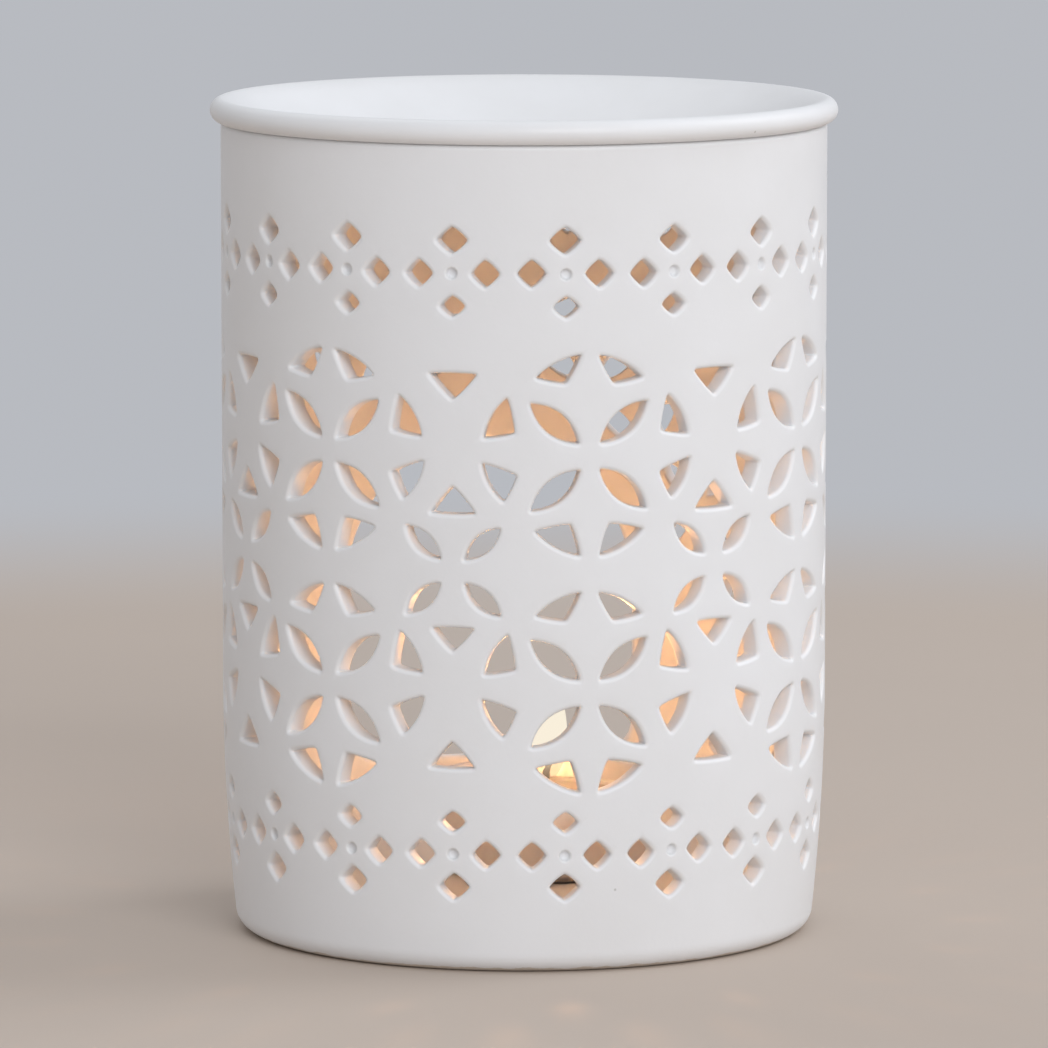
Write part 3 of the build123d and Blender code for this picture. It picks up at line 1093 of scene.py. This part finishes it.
def tabMaterial():
    material, tree, surface, place = newMaterial("tab_metal")
    squeezed = addNode(tree, "ShaderNodeMapping", {0: place, 3: tabLook["scratchScale"]}).outputs[0]
    streaks = noise(tree, squeezed, 1.0, 3.0)
    fill(tree, surface, {
        "Base Color": mixColour(tree, streaks, tabLook["dark"], tabLook["pale"]),
        "Metallic": 1.0,
        "Roughness": spread(tree, streaks, *noiseSpan, *tabLook["roughness"]),
        "Normal": bump(tree, streaks, tabLook["scratch"]),
    })
    return material


# Flame: it lights the chamber from inside, and moves with the tea light. Its shares are of its height.
flame = {
    "base": wickHigh.z - 3.4 * mm,
    "tip": 40.8 * mm,
    "start": 0.4 * mm,
    "radius": 3.0 * mm,
    "widestShare": 0.37,
    "footPower": 0.5,
    "tipPower": 0.85,
    "lean": 1.4 * mm,
    "leanPower": 1.6,
    "leanBack": 0.5 * mm,
    "glow": (1.0, 0.49, 0.19),
    "strength": 200.0,
    "lightShares": (0.30, 0.70),  # over which it grows to its full strength
    "leastLight": 0.01,
    "soften": 30 * mm,  # its light is weaker on what stands closer than this
    "core": (0.95, 0.865, 0.71),  # as the camera sees it
    "point": (1.0, 0.66, 0.34),
    "pointShares": (0.74, 1.0),
    "foot": (0.86, 0.60, 0.38),
    "footShares": (0.36, 0.10),
    "clearShares": (-0.10, 0.36),  # it is clearer round the wick
    "rings": 36,
    "segments": 32,
}


def flameMaterial():
    material = bpy.data.materials.new("flame")
    material.use_nodes = True
    tree = material.node_tree
    tree.nodes.clear()
    place = addNode(tree, "ShaderNodeTexCoord").outputs["Object"]
    share = spread(tree, heightOf(tree, place), flame["base"], flame["tip"])
    seen = mixColour(tree, spread(tree, share, *flame["pointShares"]), flame["core"], flame["point"])
    seen = mixColour(tree, spread(tree, share, *flame["footShares"]), seen, flame["foot"])
    camera = addNode(tree, "ShaderNodeLightPath").outputs["Is Camera Ray"]
    colour = mixColour(tree, camera, flame["glow"], seen)
    light = spread(tree, share, *flame["lightShares"], flame["leastLight"], 1.0)
    light = addNode(tree, "ShaderNodeLightFalloff", {
        "Strength": sums(tree, "MULTIPLY", light, flame["strength"]), "Smooth": flame["soften"] ** 2,
    }).outputs["Quadratic"]
    strength = addNode(tree, "ShaderNodeMix", {0: camera, 2: light, 3: 1.0}, data_type="FLOAT").outputs[0]
    glow = addNode(tree, "ShaderNodeEmission", {"Color": colour, "Strength": strength})
    clear = addNode(tree, "ShaderNodeBsdfTransparent")
    solid = spread(tree, share, *flame["clearShares"])
    mixed = addNode(tree, "ShaderNodeMixShader", {0: solid, 1: clear.outputs[0], 2: glow.outputs[0]})
    addNode(tree, "ShaderNodeOutputMaterial", {"Surface": mixed.outputs[0]})
    return material


def makeFlame():
    height = flame["tip"] - flame["base"]
    rings, count = flame["rings"], flame["segments"]

    def swell(share):
        return share ** flame["footPower"] * (1 - share) ** flame["tipPower"]

    start = cupMiddle[0] + flame["start"]
    verts, faces = [(start, cupMiddle[1], flame["base"])], []
    for ring in range(1, rings):
        share = ring / rings
        reach = flame["radius"] * swell(share) / swell(flame["widestShare"])
        x = start + flame["lean"] * share ** flame["leanPower"]
        y = cupMiddle[1] + flame["leanBack"] * sin(share * pi)
        for side in range(count):
            angle = 2 * pi * side / count
            verts.append((x + reach * cos(angle), y + reach * sin(angle), flame["base"] + height * share))
    verts.append((start + flame["lean"], cupMiddle[1], flame["tip"]))
    last = len(verts) - 1
    for side in range(count):
        after = (side + 1) % count
        faces.append((0, 1 + after, 1 + side))
        for ring in range(rings - 2):
            a, b = 1 + ring * count + side, 1 + ring * count + after
            faces.append((a, b, b + count, a + count))
        faces.append((last - count + side, last - count + after, last))
    piece = smoothObject("flame", verts, faces, flameMaterial())
    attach(piece, "tealight")


makeCup()
makeWax()
makeWick()
makeFlame()
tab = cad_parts["wick_tab"]
tab.data.materials.clear()
tab.data.materials.append(tabMaterial())
print("tea light made")


# Plain pale stage: a floor that fades into a pale backdrop, and soft lamps
stage = {
    "floorRadius": 4.0,
    "floorColour": (0.56, 0.475, 0.405),
    "floorShade": 0.96,  # of its colour where it is darkest
    "floorScale": 12.0,
    "floorRoughness": 0.7,
    "backdrop": (0.48, 0.495, 0.53),
    "fadeFrom": 0.37,
    "fadeTo": 0.60,
    "ambient": (0.64, 0.645, 0.665),
    "ambientStrength": 0.83,
}
lamps = {
    "front": {"place": (0.28, -2.0, 1.0), "size": 1.3, "power": 20, "colour": (0.955, 0.985, 1.035)},
    "side": {"place": (1.8, 0.07, 1.3), "size": 1.3, "power": 14, "colour": (0.955, 0.985, 1.035)},
    "back": {"place": (-0.5, 1.4, 1.7), "size": 1.3, "power": 4, "colour": (1.0, 1.0, 1.0)},
}


def backdropShare(tree):  # 1 for rays that should see the backdrop's own colour
    path = addNode(tree, "ShaderNodeLightPath").outputs
    seen = sums(tree, "MAXIMUM", path["Is Camera Ray"], path["Is Glossy Ray"])
    return sums(tree, "MAXIMUM", seen, path["Is Transmission Ray"])


def makeFloor():
    mesh = bpy.data.meshes.new("floor")
    reach = stage["floorRadius"]
    corners = [(-reach, -reach, 0), (reach, -reach, 0), (reach, reach, 0), (-reach, reach, 0)]
    mesh.from_pydata(corners, [], [(0, 1, 2, 3)])
    floor = newObject("floor", mesh)
    material, tree, surface, place = newMaterial("floor")
    grain = noise(tree, place, stage["floorScale"], 4.0)
    shade = tuple(channel * stage["floorShade"] for channel in stage["floorColour"])
    colour = mixColour(tree, grain, stage["floorColour"], shade)
    fill(tree, surface, {"Base Color": colour, "Roughness": stage["floorRoughness"]})
    fade = addNode(tree, "ShaderNodeMapRange", {
        0: distance(tree, place, (0, 0)), 1: stage["fadeFrom"], 2: stage["fadeTo"],
    }, interpolation_type="SMOOTHSTEP").outputs[0]
    share = sums(tree, "MULTIPLY", fade, backdropShare(tree))
    beyond = addNode(tree, "ShaderNodeEmission", {"Color": stage["backdrop"], "Strength": 1.0})
    mixed = addNode(tree, "ShaderNodeMixShader", {0: share, 1: surface.outputs[0], 2: beyond.outputs[0]})
    fill(tree, tree.nodes["Material Output"], {"Surface": mixed.outputs[0]})
    mesh.materials.append(material)


def makeWorld():
    world = bpy.data.worlds.new("studio")
    world.use_nodes = True
    tree = world.node_tree
    tree.nodes.clear()

    def background(colour, strength):
        return addNode(tree, "ShaderNodeBackground", {"Color": colour, "Strength": strength}).outputs[0]

    light = background(stage["ambient"], stage["ambientStrength"])
    paper = background(stage["backdrop"], 1.0)
    mixed = addNode(tree, "ShaderNodeMixShader", {0: backdropShare(tree), 1: light, 2: paper})
    addNode(tree, "ShaderNodeOutputWorld", {"Surface": mixed.outputs[0]})
    scene.world = world


def makeLamps():
    for name, lamp in lamps.items():
        data = bpy.data.lights.new(name, "AREA")
        data.shape = "DISK"
        data.size = lamp["size"]
        data.energy = lamp["power"]
        data.color = lamp["colour"]
        light = bpy.data.objects.new(name, data)
        light.location = lamp["place"]
        aim = Vector(lamp["place"]) - Vector(view["target"])
        light.rotation_euler = aim.to_track_quat("Z", "Y").to_euler()
        scene.collection.objects.link(light)


makeFloor()
makeWorld()
makeLamps()
print("stage and lamps set")
